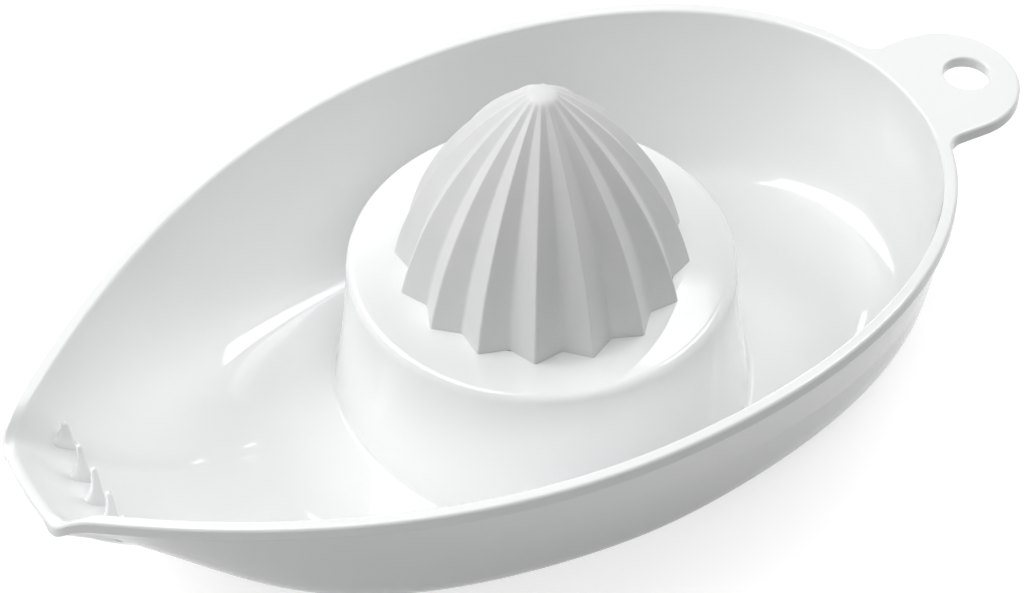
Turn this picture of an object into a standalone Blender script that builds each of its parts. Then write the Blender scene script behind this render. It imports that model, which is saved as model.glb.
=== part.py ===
"""Plastic citrus juicer: a boat-shaped dish with a fluted reamer snapped into its raised collar.

Metres, +Z up. The dish stands on z = 0 with its spout towards -X and its hanging tab towards +X.
Run with: blender --background --python part.py
"""
from math import asin, atan2, cos, hypot, pi, radians, sin, sqrt, tan

import bmesh
import bpy
from mathutils import Vector

# Dish, seen from above: distances from the reamer's axis to the outer edge of the lip
HANDLE_REACH = 0.0859
SPOUT_REACH = 0.1095
RIM_HALF_WIDTH = 0.0592
RIM_WIDEST_X = -0.0019
RIM_FULLNESS = 2.12
SPOUT_HALF_WIDTH = 0.0122
SPOUT_BOW = 0.0008
SPOUT_CORNER = 0.0022
SPOUT_FLARE = radians(41.5)
SIDE_PULL = 0.0400
SPOUT_PULL = 0.0395

# Dish, seen from the side
COLLAR_HEIGHT = 0.0360
RIM_CREST_ABOVE_COLLAR = 0.0051
RIM_CREST_X = 0.0426
RIM_SAG_RADIUS = 1.374
SPOUT_DROOP = 0.0031
SPOUT_DROOP_RUN = 0.0058
WALL = 0.0018

# Lip round the rim, thinned to a pouring edge across the spout's end
LIP_WIDTH = 0.0027
LIP_HEIGHT = 0.0029
LIP_ROUND = 0.0007
LIP_UNDER_ROUND = 0.0003
POUR_EDGE_HEIGHT = 0.0012
POUR_EDGE_FALL = 0.0016
POUR_EDGE_RUN = 0.0020

# How far the walls run in from the rim to the floor's outline, and how tightly they turn there
HANDLE_WALL_RUN = 0.0036
SPOUT_WALL_RUN = 0.0252
SIDE_WALL_RUN = 0.0148
FLOOR_FULLNESS = 2.34
SPOUT_FLOOR_FULLNESS = 3.15
FLOOR_SHOULDER = 0.0012
FLOOR_SLOPE = radians(4.5)
FOOT_RING_DRAFT = 0.0004
TIGHTNESS_AT_HANDLE = 4.0
TIGHTNESS_AT_SIDES = 3.4
TIGHTNESS_AT_SPOUT = 1.15
HULL_TOP_SHARE = 0.1

# Collar under the reamer
COLLAR_MARGIN = 0.0093
COLLAR_ROUND = 0.0018
SKIRT_SPREAD = 0.0037
SKIRT_HOLLOW = 0.0010
COLLAR_PLATE = 0.0022

# Hanging tab
TAB_LENGTH = 0.0217
TAB_TILT = radians(3.0)
TAB_HALF_WIDTH = 0.0148
TAB_THICKNESS = 0.0028
TAB_FILLET = 0.0045
TAB_EDGE_ROUND = 0.0007
HANG_HOLE_RADIUS = 0.0047
HANG_HOLE_FROM_TIP = 0.0099

# Pip teeth in the spout
TOOTH_COUNT = 5
TOOTH_PITCH = 0.0066
TOOTH_SETBACK = 0.0146
TOOTH_BELOW_RIM = 0.0071
TOOTH_FRONT_SLOPE = 0.0010
TOOTH_THICKNESS = 0.0017
TOOTH_TIP_THICKNESS = 0.0010
TOOTH_TOP_LENGTH = 0.0011
TOOTH_FOOT_LENGTH = 0.0033
TOOTH_ROUND = 0.0004

# Reamer
RIDGE_COUNT = 16
RIDGE_RADIUS = 0.0285
RIDGE_TURN = radians(148.3)
VALLEY_DEPTH = 0.0030
RIDGE_LAND = 0.0005
VALLEY_LAND = 0.0006
VALLEY_FADE = 1.15
REAMER_HEIGHT = 0.0430
RIDGE_ARC_RADIUS = 0.0750
NUB_RADIUS = 0.0033
NUB_RISE = 0.0009
REAMER_WALL = 0.0015
HOLLOW_SHARE = 0.92

# Snap fit of the reamer in the collar
CLEARANCE = 0.0003
SEAT_LEDGE = 0.0010
SPIGOT_WALL = 0.0018
SNAP_COUNT = 4
SNAP_WIDTH = 0.0080
SNAP_CATCH = 0.0012
SNAP_HEIGHT = 0.0022
SNAP_EDGE = 0.0007
KEY_COUNT = 4
KEY_WIDTH = 0.0030
KEY_DEPTH = 0.0010

# Facets and shading
SHARP_ANGLE = radians(32)
HANDLE_STEPS = 18
SIDE_STEPS = 21
CORNER_STEPS = 3
NOSE_STEPS = 5
WALL_STEPS = 10
HULL_STEPS = 8
SKIRT_STEPS = 4
LINING_STEPS = 3
ROUND_STEPS = 2
COLLAR_ROUND_STEPS = 3
FILLET_STEPS = 5
TAB_END_STEPS = 10
SWEEP_STEPS = 5
SECTOR_STEPS = 4
REAMER_STEPS = 13
HOLLOW_STEPS = 9
NUB_STEPS = 2
HOLE_STEPS = 32

FLOOR_HEIGHT = WALL
FLOOR_TO_HANDLE = HANDLE_REACH - HANDLE_WALL_RUN
FLOOR_TO_SPOUT = SPOUT_REACH - SPOUT_WALL_RUN
FLOOR_HALF_WIDTH = RIM_HALF_WIDTH - SIDE_WALL_RUN
TAB_REACH = HANDLE_REACH + TAB_LENGTH
COLLAR_RADIUS = RIDGE_RADIUS + COLLAR_MARGIN
SKIRT_FOOT_RADIUS = COLLAR_RADIUS + SKIRT_SPREAD
SPIGOT_RADIUS = RIDGE_RADIUS - VALLEY_DEPTH - SEAT_LEDGE
BORE_RADIUS = SPIGOT_RADIUS + CLEARANCE
TOOTH_X = TOOTH_SETBACK - SPOUT_REACH
BOX_CENTRE_X = (TAB_REACH - SPOUT_REACH) / 2


def clear_scene():
    for item in list(bpy.data.objects):
        bpy.data.objects.remove(item, do_unlink=True)


def plastic(name, colour, roughness):
    material = bpy.data.materials.new(name)
    material.use_nodes = True
    shader = material.node_tree.nodes["Principled BSDF"]
    shader.inputs["Base Color"].default_value = (*colour, 1.0)
    shader.inputs["Roughness"].default_value = roughness
    shader.inputs["Metallic"].default_value = 0.0
    return material


def mix(start, end, share):
    return start + (end - start) * share


def bezier(start, pull_start, pull_end, end, share):
    """Point at a share of the way along a cubic curve in the plane."""
    rest = 1 - share
    weights = (rest ** 3, 3 * rest * rest * share, 3 * rest * share * share, share ** 3)
    corners = (start, pull_start, pull_end, end)
    return tuple(sum(w * p[axis] for w, p in zip(weights, corners)) for axis in (0, 1))


def conic(start, corner, end, weight, share):
    """Point of a curve that leaves start and meets end along the two sides of their corner."""
    rest = 1 - share
    weights = (rest * rest, 2 * weight * rest * share, share * share)
    total = sum(weights)
    return tuple(sum(w * p[axis] for w, p in zip(weights, (start, corner, end))) / total
                 for axis in (0, 1))


def quarter_round(centre, across, up, start, steps):
    """Quarter-round edge in a cross-section, with its reach across and its reach up."""
    turns = [start + step / steps * pi / 2 for step in range(steps + 1)]
    return [(centre[0] + across * cos(turn), centre[1] + up * sin(turn)) for turn in turns]


def mesh_object(name, bm, material, parent):
    bmesh.ops.recalc_face_normals(bm, faces=bm.faces)
    mesh = bpy.data.meshes.new(name)
    bm.to_mesh(mesh)
    bm.free()
    mesh.shade_smooth()
    mesh.set_sharp_from_angle(angle=SHARP_ANGLE)
    item = bpy.data.objects.new(name, mesh)
    bpy.context.scene.collection.objects.link(item)
    if material:
        item.data.materials.append(material)
    item.parent = parent
    return item


def loft(bm, rings, closed):
    """Skin rings of equal length; closed joins the last ring to the first."""
    vertices = [[bm.verts.new(point) for point in ring] for ring in rings]
    pairs = list(zip(vertices, vertices[1:]))
    if closed:
        pairs.append((vertices[-1], vertices[0]))
    for lower, upper in pairs:
        for index in range(len(lower)):
            after = (index + 1) % len(lower)
            bm.faces.new((lower[index], lower[after], upper[after], upper[index]))
    return vertices


def boolean(target, tool, operation):
    """Unite target with tool or cut it, then hide the tool from the finished model."""
    modifier = target.modifiers.new(tool.name, "BOOLEAN")
    modifier.operation = operation
    modifier.solver = "EXACT"
    modifier.object = tool
    tool.hide_render = True
    tool.display_type = "WIRE"


# Rim outline

def handle_side_point(turn, outward):
    """Point of the full oval towards the handle, moved outward along the oval's normal."""
    reach = HANDLE_REACH - RIM_WIDEST_X
    x = cos(turn) ** (2 / RIM_FULLNESS)
    y = sin(turn) ** (2 / RIM_FULLNESS)
    slope = RIM_FULLNESS - 1
    normal = Vector((x ** slope / reach, y ** slope / RIM_HALF_WIDTH)).normalized()
    return (RIM_WIDEST_X + reach * x + normal.x * outward, RIM_HALF_WIDTH * y + normal.y * outward)


def spout_corner():
    return (-(SPOUT_REACH - SPOUT_BOW), SPOUT_HALF_WIDTH)


def side_end():
    corner_x, corner_y = spout_corner()
    return (corner_x + SPOUT_CORNER * cos(SPOUT_FLARE), corner_y + SPOUT_CORNER * sin(SPOUT_FLARE))


def nose_height(across):
    """Distance of the spout's gently bowed end from the axis, at a distance across."""
    return -SPOUT_REACH + SPOUT_BOW * (across / SPOUT_HALF_WIDTH) ** 2


def half_rim_outline():
    """Outer edge of the lip from the handle end round to the middle of the spout."""
    points = [handle_side_point(step / HANDLE_STEPS * pi / 2, 0.0) for step in range(HANDLE_STEPS)]
    end = side_end()
    widest = (RIM_WIDEST_X, RIM_HALF_WIDTH)
    ahead = (RIM_WIDEST_X - SIDE_PULL, RIM_HALF_WIDTH)
    back = (end[0] + SPOUT_PULL * cos(SPOUT_FLARE), end[1] + SPOUT_PULL * sin(SPOUT_FLARE))
    points += [bezier(widest, ahead, back, end, step / SIDE_STEPS) for step in range(SIDE_STEPS)]
    nose_start = (nose_height(SPOUT_HALF_WIDTH - SPOUT_CORNER), SPOUT_HALF_WIDTH - SPOUT_CORNER)
    points += [conic(end, spout_corner(), nose_start, 1.0, step / CORNER_STEPS)
               for step in range(CORNER_STEPS)]
    for step in range(NOSE_STEPS + 1):
        across = nose_start[1] * (1 - step / NOSE_STEPS)
        points.append((nose_height(across), across))
    return points


def rim_outline():
    half = half_rim_outline()
    return half + [(x, -y) for x, y in reversed(half[1:-1])]


def rim_height(x):
    """Top of the lip: a long sagging arc, highest towards the handle, drooping at the spout."""
    height = COLLAR_HEIGHT + RIM_CREST_ABOVE_COLLAR
    height -= RIM_SAG_RADIUS - sqrt(RIM_SAG_RADIUS ** 2 - (x - RIM_CREST_X) ** 2)
    droop_end = SPOUT_REACH - SPOUT_BOW
    past = 1 - (droop_end + x) / SPOUT_DROOP_RUN
    return height - SPOUT_DROOP * min(max(past, 0.0), 1.0) ** 2


def pour_share(x, y):
    """How far the lip has thinned to the pouring edge: 0 up to the spout's corner, then up to 1."""
    if x > 0:
        return 0.0
    return min(max((SPOUT_HALF_WIDTH - SPOUT_CORNER - abs(y)) / POUR_EDGE_RUN, 0.0), 1.0)


# Dish cross-section in the upright plane that holds the axis and one point of the rim

def floor_reach(turn):
    """Distance from the axis to the floor's outline, two full half-ovals, in one direction."""
    length, fullness = FLOOR_TO_HANDLE, FLOOR_FULLNESS
    if cos(turn) < 0:
        length, fullness = FLOOR_TO_SPOUT, SPOUT_FLOOR_FULLNESS
    along = abs(cos(turn) / length) ** fullness
    across = abs(sin(turn) / FLOOR_HALF_WIDTH) ** fullness
    return (along + across) ** (-1 / fullness)


def wall_curve(turn, reach, height, lean, pour):
    """Bowl wall from the lip's inner edge down to the floor: its three corners and tightness."""
    start = (reach - LIP_WIDTH / lean, height - mix(LIP_ROUND, POUR_EDGE_FALL, pour))
    inner = SKIRT_FOOT_RADIUS + FLOOR_SHOULDER
    corner = (min(max(floor_reach(turn), inner), start[0]), FLOOR_HEIGHT)
    end = (inner, FLOOR_HEIGHT + tan(FLOOR_SLOPE) * (corner[0] - inner))
    end_tightness = TIGHTNESS_AT_HANDLE if cos(turn) > 0 else TIGHTNESS_AT_SPOUT
    return start, corner, end, mix(TIGHTNESS_AT_SIDES, end_tightness, cos(turn) ** 2)


def offset_wall(curve, lean, share):
    """Point of the hull: the wall curve's point moved out by the wall's thickness."""
    nudge = 0.01
    before = conic(*curve, max(0.0, share - nudge))
    after = conic(*curve, min(1.0, share + nudge))
    here = conic(*curve, share)
    along = (after[0] - before[0], after[1] - before[1])
    size = hypot(*along)
    return (here[0] - along[1] / size * WALL / lean, here[1] + along[0] / size * WALL)


def lip_section(reach, height, lean, pour):
    """Lip from its underside, round the outer edge and over the top to the inner edge."""
    bottom = height - mix(LIP_HEIGHT, POUR_EDGE_HEIGHT, pour)
    inner = reach - LIP_WIDTH / lean
    fall = mix(LIP_ROUND, POUR_EDGE_FALL, pour)
    ease = mix(LIP_ROUND, LIP_WIDTH - LIP_ROUND, pour) / lean
    low_edge = (reach - LIP_UNDER_ROUND / lean, bottom + LIP_UNDER_ROUND)
    high_edge = (reach - LIP_ROUND / lean, height - LIP_ROUND)
    section = [(inner + WALL / lean, bottom)]
    section += quarter_round(low_edge, LIP_UNDER_ROUND / lean, LIP_UNDER_ROUND, -pi / 2, 1)
    section += quarter_round(high_edge, LIP_ROUND / lean, LIP_ROUND, 0.0, ROUND_STEPS)
    section += quarter_round((inner + ease, height - fall), ease, fall, pi / 2, ROUND_STEPS)
    return section[:-1]


def skirt_point(share):
    """Point up the skirt's slightly hollow side, from its foot to the collar's rounded edge."""
    top = (COLLAR_RADIUS, COLLAR_HEIGHT - COLLAR_ROUND)
    foot = (SKIRT_FOOT_RADIUS, FLOOR_HEIGHT)
    hollow = (mix(foot[0], top[0], 0.5) - SKIRT_HOLLOW, mix(foot[1], top[1], 0.5))
    return conic(foot, hollow, top, 1.0, share)


def collar_section(foot_height):
    """Skirt, collar, bore and the hollow under them, from the skirt's foot to the foot ring."""
    under = COLLAR_HEIGHT - COLLAR_PLATE
    edge = (COLLAR_RADIUS - COLLAR_ROUND, COLLAR_HEIGHT - COLLAR_ROUND)
    first = (foot_height - FLOOR_HEIGHT) / (edge[1] - FLOOR_HEIGHT)
    section = [skirt_point(mix(first, 1.0, step / SKIRT_STEPS)) for step in range(SKIRT_STEPS)]
    section += quarter_round(edge, COLLAR_ROUND, COLLAR_ROUND, 0.0, COLLAR_ROUND_STEPS)
    section += [(BORE_RADIUS, COLLAR_HEIGHT), (BORE_RADIUS, under)]
    for step in range(LINING_STEPS, 0, -1):
        radius, height = skirt_point(step / LINING_STEPS)
        section.append((radius - WALL, min(height, under)))
    section.append((SKIRT_FOOT_RADIUS - WALL, 0.0))
    section.append((SKIRT_FOOT_RADIUS + FLOOR_SHOULDER - FOOT_RING_DRAFT, 0.0))
    return section


def dish_section(x, y, lean):
    """Closed cross-section of the dish below one point of the rim."""
    turn = atan2(y, x)
    reach = hypot(x, y)
    height = rim_height(x)
    pour = pour_share(x, y)
    curve = wall_curve(turn, reach, height, lean, pour)
    section = lip_section(reach, height, lean, pour)
    section += [conic(*curve, step / WALL_STEPS) for step in range(WALL_STEPS + 1)]
    section += collar_section(curve[2][1])
    for step in range(HULL_STEPS + 1):
        section.append(offset_wall(curve, lean, mix(1.0, HULL_TOP_SHARE, step / HULL_STEPS)))
    return [Vector((rho * cos(turn), rho * sin(turn), z)) for rho, z in section]


def leans(outline):
    """Cosine of the angle between the rim's normal and the line from the axis, at each point."""
    values = []
    for index, (x, y) in enumerate(outline):
        ahead = outline[(index + 1) % len(outline)]
        behind = outline[index - 1]
        along = (ahead[0] - behind[0], ahead[1] - behind[1])
        values.append((along[1] * x - along[0] * y) / (hypot(*along) * hypot(x, y)))
    return values


def add_dish(material, parent):
    outline = rim_outline()
    sections = [dish_section(x, y, lean) for (x, y), lean in zip(outline, leans(outline))]
    bm = bmesh.new()
    loft(bm, sections, closed=True)
    return mesh_object("dish", bm, material, parent)


# Hanging tab

def fillet_centre():
    """Centre of the hollow fillet between the rim's handle end and the tab's side."""
    target = TAB_HALF_WIDTH + TAB_FILLET
    low, high = 0.0, pi / 2
    for _ in range(40):
        middle = (low + high) / 2
        if handle_side_point(middle, TAB_FILLET)[1] < target:
            low = middle
        else:
            high = middle
    return low, handle_side_point(low, TAB_FILLET)


def arc(centre, radius, start, end, steps):
    turns = [mix(start, end, step / steps) for step in range(steps + 1)]
    return [(centre[0] + radius * cos(turn), centre[1] + radius * sin(turn)) for turn in turns]


def tab_half_outline():
    """Half of the tab from under the lip, along the fillet and the side, to the round end."""
    rim_turn, centre = fillet_centre()
    root = [handle_side_point(rim_turn * step / FILLET_STEPS, -LIP_WIDTH / 2)
            for step in range(FILLET_STEPS + 1)]
    touch = handle_side_point(rim_turn, 0.0)
    touch_turn = atan2(touch[1] - centre[1], touch[0] - centre[0])
    fillet = arc(centre, TAB_FILLET, touch_turn, -pi / 2, FILLET_STEPS)
    end = arc((TAB_REACH - TAB_HALF_WIDTH, 0.0), TAB_HALF_WIDTH, pi / 2, 0.0, TAB_END_STEPS)
    return root + fillet + end


def tab_height(x):
    """Top of the tab, a plane that carries on the rim's downward slope."""
    root = HANDLE_REACH - LIP_WIDTH / 2
    return rim_height(root) - tan(TAB_TILT) * (x - root)


def add_tab(parent):
    half = tab_half_outline()
    outline = half + [(x, -y) for x, y in reversed(half[1:-1])]
    bm = bmesh.new()
    lower = [bm.verts.new((x, y, tab_height(x) - TAB_THICKNESS)) for x, y in outline]
    face = bm.faces.new(lower)
    upper = bmesh.ops.extrude_face_region(bm, geom=[face])
    raised = [item for item in upper["geom"] if isinstance(item, bmesh.types.BMVert)]
    bmesh.ops.translate(bm, verts=raised, vec=(0, 0, TAB_THICKNESS))
    tab = mesh_object("tab", bm, None, parent)
    edges = tab.modifiers.new("edges", "BEVEL")
    edges.width = TAB_EDGE_ROUND
    edges.segments = ROUND_STEPS
    edges.limit_method = "ANGLE"
    edges.angle_limit = radians(60)
    return tab


def add_hang_hole(parent):
    x = TAB_REACH - HANG_HOLE_FROM_TIP
    bpy.ops.mesh.primitive_cylinder_add(vertices=HOLE_STEPS, radius=HANG_HOLE_RADIUS,
                                        depth=TAB_THICKNESS * 4, location=(x, 0, tab_height(x)))
    hole = bpy.context.object
    hole.name = "hang_hole"
    hole.parent = parent
    return hole


# Pip teeth

def rim_point(turn):
    """Point of the rim's outer edge in any direction from the axis."""
    outline = rim_outline()
    for (ax, ay), (bx, by) in zip(outline, outline[1:] + outline[:1]):
        cross_a = cos(turn) * ay - sin(turn) * ax
        cross_b = cos(turn) * by - sin(turn) * bx
        if cross_a <= 0 < cross_b or cross_b <= 0 < cross_a:
            share = cross_a / (cross_a - cross_b)
            x, y = mix(ax, bx, share), mix(ay, by, share)
            if x * cos(turn) + y * sin(turn) > 0:
                return x, y
    return -SPOUT_REACH, 0.0


def bowl_height(x, y):
    """Height of the bowl's inner surface at a point in the spout."""
    turn, distance = atan2(y, x), hypot(x, y)
    rim = rim_point(turn)
    curve = wall_curve(turn, hypot(*rim), rim_height(rim[0]), 1.0, pour_share(*rim))
    low, high = 0.0, 1.0
    for _ in range(30):
        middle = (low + high) / 2
        if conic(*curve, middle)[0] > distance:
            low = middle
        else:
            high = middle
    return conic(*curve, low)[1]


def tooth_tip_height():
    return rim_height(TOOTH_X) - TOOTH_BELOW_RIM


def tooth_profile(y):
    """Side view of a tooth: steep towards the bowl, rounded on top, sweeping down to the spout."""
    top = tooth_tip_height()
    front = TOOTH_X + TOOTH_FRONT_SLOPE
    back = TOOTH_X - TOOTH_TOP_LENGTH
    tail = TOOTH_X - TOOTH_FOOT_LENGTH
    profile = [(front, bowl_height(front, y)), (TOOTH_X, top - TOOTH_ROUND),
               (TOOTH_X - TOOTH_ROUND, top), (back + TOOTH_ROUND, top)]
    sweep = ((back, top - TOOTH_ROUND), (back, bowl_height(back, y)), (tail, bowl_height(tail, y)))
    profile += [conic(*sweep, 1.0, step / SWEEP_STEPS) for step in range(SWEEP_STEPS + 1)]
    for x in (tail, mix(tail, front, 0.5), front):
        profile.append((x, bowl_height(x, y) - WALL / 2))
    return profile


def add_tooth(number, parent):
    y = (number - (TOOTH_COUNT - 1) / 2) * TOOTH_PITCH
    profile = tooth_profile(y)
    low = min(z for x, z in profile)
    sides = [[], []]
    for x, z in profile:
        rise = (z - low) / (tooth_tip_height() - low)
        half = mix(TOOTH_THICKNESS, TOOTH_TIP_THICKNESS, rise) / 2
        sides[0].append((x, y - half, z))
        sides[1].append((x, y + half, z))
    bm = bmesh.new()
    for end in loft(bm, sides, closed=False):
        bm.faces.new(end)
    return mesh_object(f"tooth_{number + 1}", bm, None, parent)


# Reamer

def ridge_arc_centre():
    """Centre of the arc that carries every ridge from the reamer's base to its nub."""
    base = Vector((RIDGE_RADIUS, 0.0))
    tip = Vector((NUB_RADIUS, REAMER_HEIGHT - NUB_RISE))
    middle = (base + tip) / 2
    chord = tip - base
    inward = Vector((-chord.y, chord.x)).normalized()
    return middle + inward * sqrt(RIDGE_ARC_RADIUS ** 2 - (chord.length / 2) ** 2)


def ridge_point(share):
    centre = ridge_arc_centre()
    start = asin(-centre.y / RIDGE_ARC_RADIUS)
    end = asin((REAMER_HEIGHT - NUB_RISE - centre.y) / RIDGE_ARC_RADIUS)
    turn = mix(start, end, share)
    return centre.x + RIDGE_ARC_RADIUS * cos(turn), centre.y + RIDGE_ARC_RADIUS * sin(turn)


def valley_radius(ridge_radius):
    return ridge_radius - VALLEY_DEPTH * (ridge_radius / RIDGE_RADIUS) ** VALLEY_FADE


def flute_ring(radius, height):
    """Star-shaped ring: a narrow land on each ridge and in each valley, flat faces between."""
    points = []
    pitch = 2 * pi / RIDGE_COUNT
    shrink = radius / RIDGE_RADIUS
    low = valley_radius(radius)
    for number in range(RIDGE_COUNT):
        turn = RIDGE_TURN + number * pitch
        ridge = RIDGE_LAND * shrink / 2 / radius
        valley = VALLEY_LAND * shrink / 2 / low
        for angle, reach in ((turn - ridge, radius), (turn + ridge, radius),
                             (turn + pitch / 2 - valley, low), (turn + pitch / 2 + valley, low)):
            points.append(Vector((reach * cos(angle), reach * sin(angle), height)))
    return points


def round_ring(radius, height):
    """Round ring whose points stand under those of the flutes."""
    return [Vector((radius * cos(atan2(p.y, p.x)), radius * sin(atan2(p.y, p.x)), height))
            for p in flute_ring(RIDGE_RADIUS, 0.0)]


def spigot_foot():
    return COLLAR_HEIGHT - COLLAR_PLATE - CLEARANCE - SNAP_HEIGHT


def reamer_outside():
    """Rings from the spigot's foot up the flutes to the nub."""
    rings = [round_ring(SPIGOT_RADIUS, spigot_foot()), round_ring(SPIGOT_RADIUS, COLLAR_HEIGHT + CLEARANCE)]
    for step in range(REAMER_STEPS + 1):
        radius, height = ridge_point(step / REAMER_STEPS)
        rings.append(flute_ring(radius, COLLAR_HEIGHT + max(height, CLEARANCE)))
    base = COLLAR_HEIGHT + REAMER_HEIGHT - NUB_RISE
    for step in range(1, NUB_STEPS + 1):
        turn = step / (NUB_STEPS + 1) * pi / 2
        rings.append(round_ring(NUB_RADIUS * cos(turn), base + NUB_RISE * sin(turn)))
    return rings


def reamer_hollow():
    """Rings from the top of the hollow down to the spigot's foot."""
    bore = SPIGOT_RADIUS - SPIGOT_WALL
    rings = []
    for step in range(HOLLOW_STEPS, 0, -1):
        radius, height = ridge_point(HOLLOW_SHARE * step / HOLLOW_STEPS)
        inner = min(valley_radius(radius) - REAMER_WALL, bore)
        rings.append(round_ring(inner, COLLAR_HEIGHT + height))
    rings.append(round_ring(bore, spigot_foot()))
    return rings


def add_reamer(material, parent):
    bm = bmesh.new()
    skin = loft(bm, reamer_outside(), closed=False)
    bm.faces.new(skin[-1])
    hollow = loft(bm, reamer_hollow(), closed=False)
    bm.faces.new(hollow[0])
    for index in range(len(skin[0])):
        after = (index + 1) % len(skin[0])
        bm.faces.new((skin[0][index], skin[0][after], hollow[-1][after], hollow[-1][index]))
    return mesh_object("reamer", bm, material, parent)


def add_sector(name, profile, turn, width, parent):
    """Short stretch of a ring with a given cross-section, centred on one direction."""
    middle = sum(radius for radius, height in profile) / len(profile)
    rings = []
    for step in range(SECTOR_STEPS + 1):
        angle = turn + (step / SECTOR_STEPS - 0.5) * width / middle
        rings.append([(radius * cos(angle), radius * sin(angle), height) for radius, height in profile])
    bm = bmesh.new()
    ends = loft(bm, rings, closed=False)
    bm.faces.new(ends[0])
    bm.faces.new(ends[-1])
    return mesh_object(name, bm, None, parent)


def add_snap(number, parent):
    """Catch at the spigot's foot, ramped below, that hooks under the collar."""
    under = COLLAR_HEIGHT - COLLAR_PLATE - CLEARANCE
    inner = SPIGOT_RADIUS - SPIGOT_WALL / 2
    outer = SPIGOT_RADIUS + SNAP_CATCH
    profile = [(inner, under), (outer, under), (outer, under - SNAP_EDGE),
               (SPIGOT_RADIUS, spigot_foot()), (inner, spigot_foot())]
    return add_sector(f"snap_{number + 1}", profile, number * 2 * pi / SNAP_COUNT, SNAP_WIDTH, parent)


def key_turn(number):
    return (number + 0.5) * 2 * pi / KEY_COUNT


def add_key(number, parent):
    """Rib on the spigot that stands in a notch of the bore and stops the reamer turning."""
    low = COLLAR_HEIGHT - COLLAR_PLATE
    high = COLLAR_HEIGHT + CLEARANCE * 2
    inner = SPIGOT_RADIUS - SPIGOT_WALL / 2
    outer = SPIGOT_RADIUS + KEY_DEPTH
    profile = [(inner, low), (outer, low), (outer, high), (inner, high)]
    return add_sector(f"key_{number + 1}", profile, key_turn(number), KEY_WIDTH, parent)


def add_notch(number, parent):
    low = COLLAR_HEIGHT - COLLAR_PLATE * 2
    high = COLLAR_HEIGHT + COLLAR_PLATE
    inner = BORE_RADIUS - KEY_DEPTH
    outer = SPIGOT_RADIUS + KEY_DEPTH + CLEARANCE
    profile = [(inner, low), (outer, low), (outer, high), (inner, high)]
    return add_sector(f"notch_{number + 1}", profile, key_turn(number), KEY_WIDTH + 2 * CLEARANCE, parent)


def build():
    clear_scene()
    frame = bpy.data.objects.new("reamer_axis", None)
    frame.location = (-BOX_CENTRE_X, 0.0, 0.0)
    bpy.context.scene.collection.objects.link(frame)

    gloss_white = plastic("dish_gloss_white", (0.86, 0.87, 0.87), 0.12)
    satin_white = plastic("reamer_satin_white", (0.83, 0.84, 0.84), 0.45)

    dish = add_dish(gloss_white, frame)
    boolean(dish, add_tab(frame), "UNION")
    boolean(dish, add_hang_hole(frame), "DIFFERENCE")
    for number in range(TOOTH_COUNT):
        boolean(dish, add_tooth(number, frame), "UNION")
    for number in range(KEY_COUNT):
        boolean(dish, add_notch(number, frame), "DIFFERENCE")

    reamer = add_reamer(satin_white, frame)
    for number in range(SNAP_COUNT):
        boolean(reamer, add_snap(number, frame), "UNION")
    for number in range(KEY_COUNT):
        boolean(reamer, add_key(number, frame), "UNION")


build()
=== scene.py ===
"""Looks of the plastic citrus juicer: smooth mouldings, plastics, a pale floor and soft light."""
from math import asin, atan, atan2, cos, hypot, pi, radians, sin, sqrt, tan

import bmesh
import bpy
from mathutils import Matrix, Vector


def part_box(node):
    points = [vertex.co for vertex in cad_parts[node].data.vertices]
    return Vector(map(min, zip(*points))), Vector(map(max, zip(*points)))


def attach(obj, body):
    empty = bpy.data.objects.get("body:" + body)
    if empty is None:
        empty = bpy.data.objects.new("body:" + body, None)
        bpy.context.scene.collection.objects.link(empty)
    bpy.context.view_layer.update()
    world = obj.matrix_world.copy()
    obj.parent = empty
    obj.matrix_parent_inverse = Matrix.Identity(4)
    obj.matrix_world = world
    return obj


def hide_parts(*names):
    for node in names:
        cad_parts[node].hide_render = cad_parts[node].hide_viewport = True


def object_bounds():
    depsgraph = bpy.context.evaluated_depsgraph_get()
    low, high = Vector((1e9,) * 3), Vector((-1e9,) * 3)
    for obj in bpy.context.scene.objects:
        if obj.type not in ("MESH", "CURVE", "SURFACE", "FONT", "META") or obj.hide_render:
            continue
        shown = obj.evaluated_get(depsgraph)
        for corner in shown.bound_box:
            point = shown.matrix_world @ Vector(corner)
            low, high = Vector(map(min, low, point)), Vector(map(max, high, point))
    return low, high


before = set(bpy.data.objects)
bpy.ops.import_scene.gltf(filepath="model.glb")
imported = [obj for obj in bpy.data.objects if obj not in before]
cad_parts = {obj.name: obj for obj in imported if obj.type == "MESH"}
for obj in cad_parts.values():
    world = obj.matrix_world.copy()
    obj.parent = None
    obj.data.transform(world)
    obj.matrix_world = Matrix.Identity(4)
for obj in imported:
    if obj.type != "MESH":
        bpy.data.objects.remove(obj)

CAD_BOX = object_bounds()

# Dish, seen from above: distances from the reamer's axis to the outer edge of the lip
HANDLE_REACH = 0.0859
SPOUT_REACH = 0.1095
RIM_HALF_WIDTH = 0.0592
RIM_WIDEST_X = -0.0019
RIM_FULLNESS = 2.12
SPOUT_HALF_WIDTH = 0.0122
SPOUT_BOW = 0.0008
SPOUT_CORNER = 0.0022
SPOUT_FLARE = radians(41.5)
SIDE_PULL = 0.0400
SPOUT_PULL = 0.0395

# Dish, seen from the side
COLLAR_HEIGHT = 0.0360
RIM_CREST_ABOVE_COLLAR = 0.0051
RIM_CREST_X = 0.0426
RIM_SAG_RADIUS = 1.374
SPOUT_DROOP = 0.0031
SPOUT_DROOP_RUN = 0.0058
WALL = 0.0018

# Lip round the rim, thinned to a pouring edge across the spout's end
LIP_WIDTH = 0.0027
LIP_HEIGHT = 0.0029
LIP_ROUND = 0.0007
LIP_UNDER_ROUND = 0.0003
POUR_EDGE_HEIGHT = 0.0012
POUR_EDGE_FALL = 0.0016
POUR_EDGE_RUN = 0.0020

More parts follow.
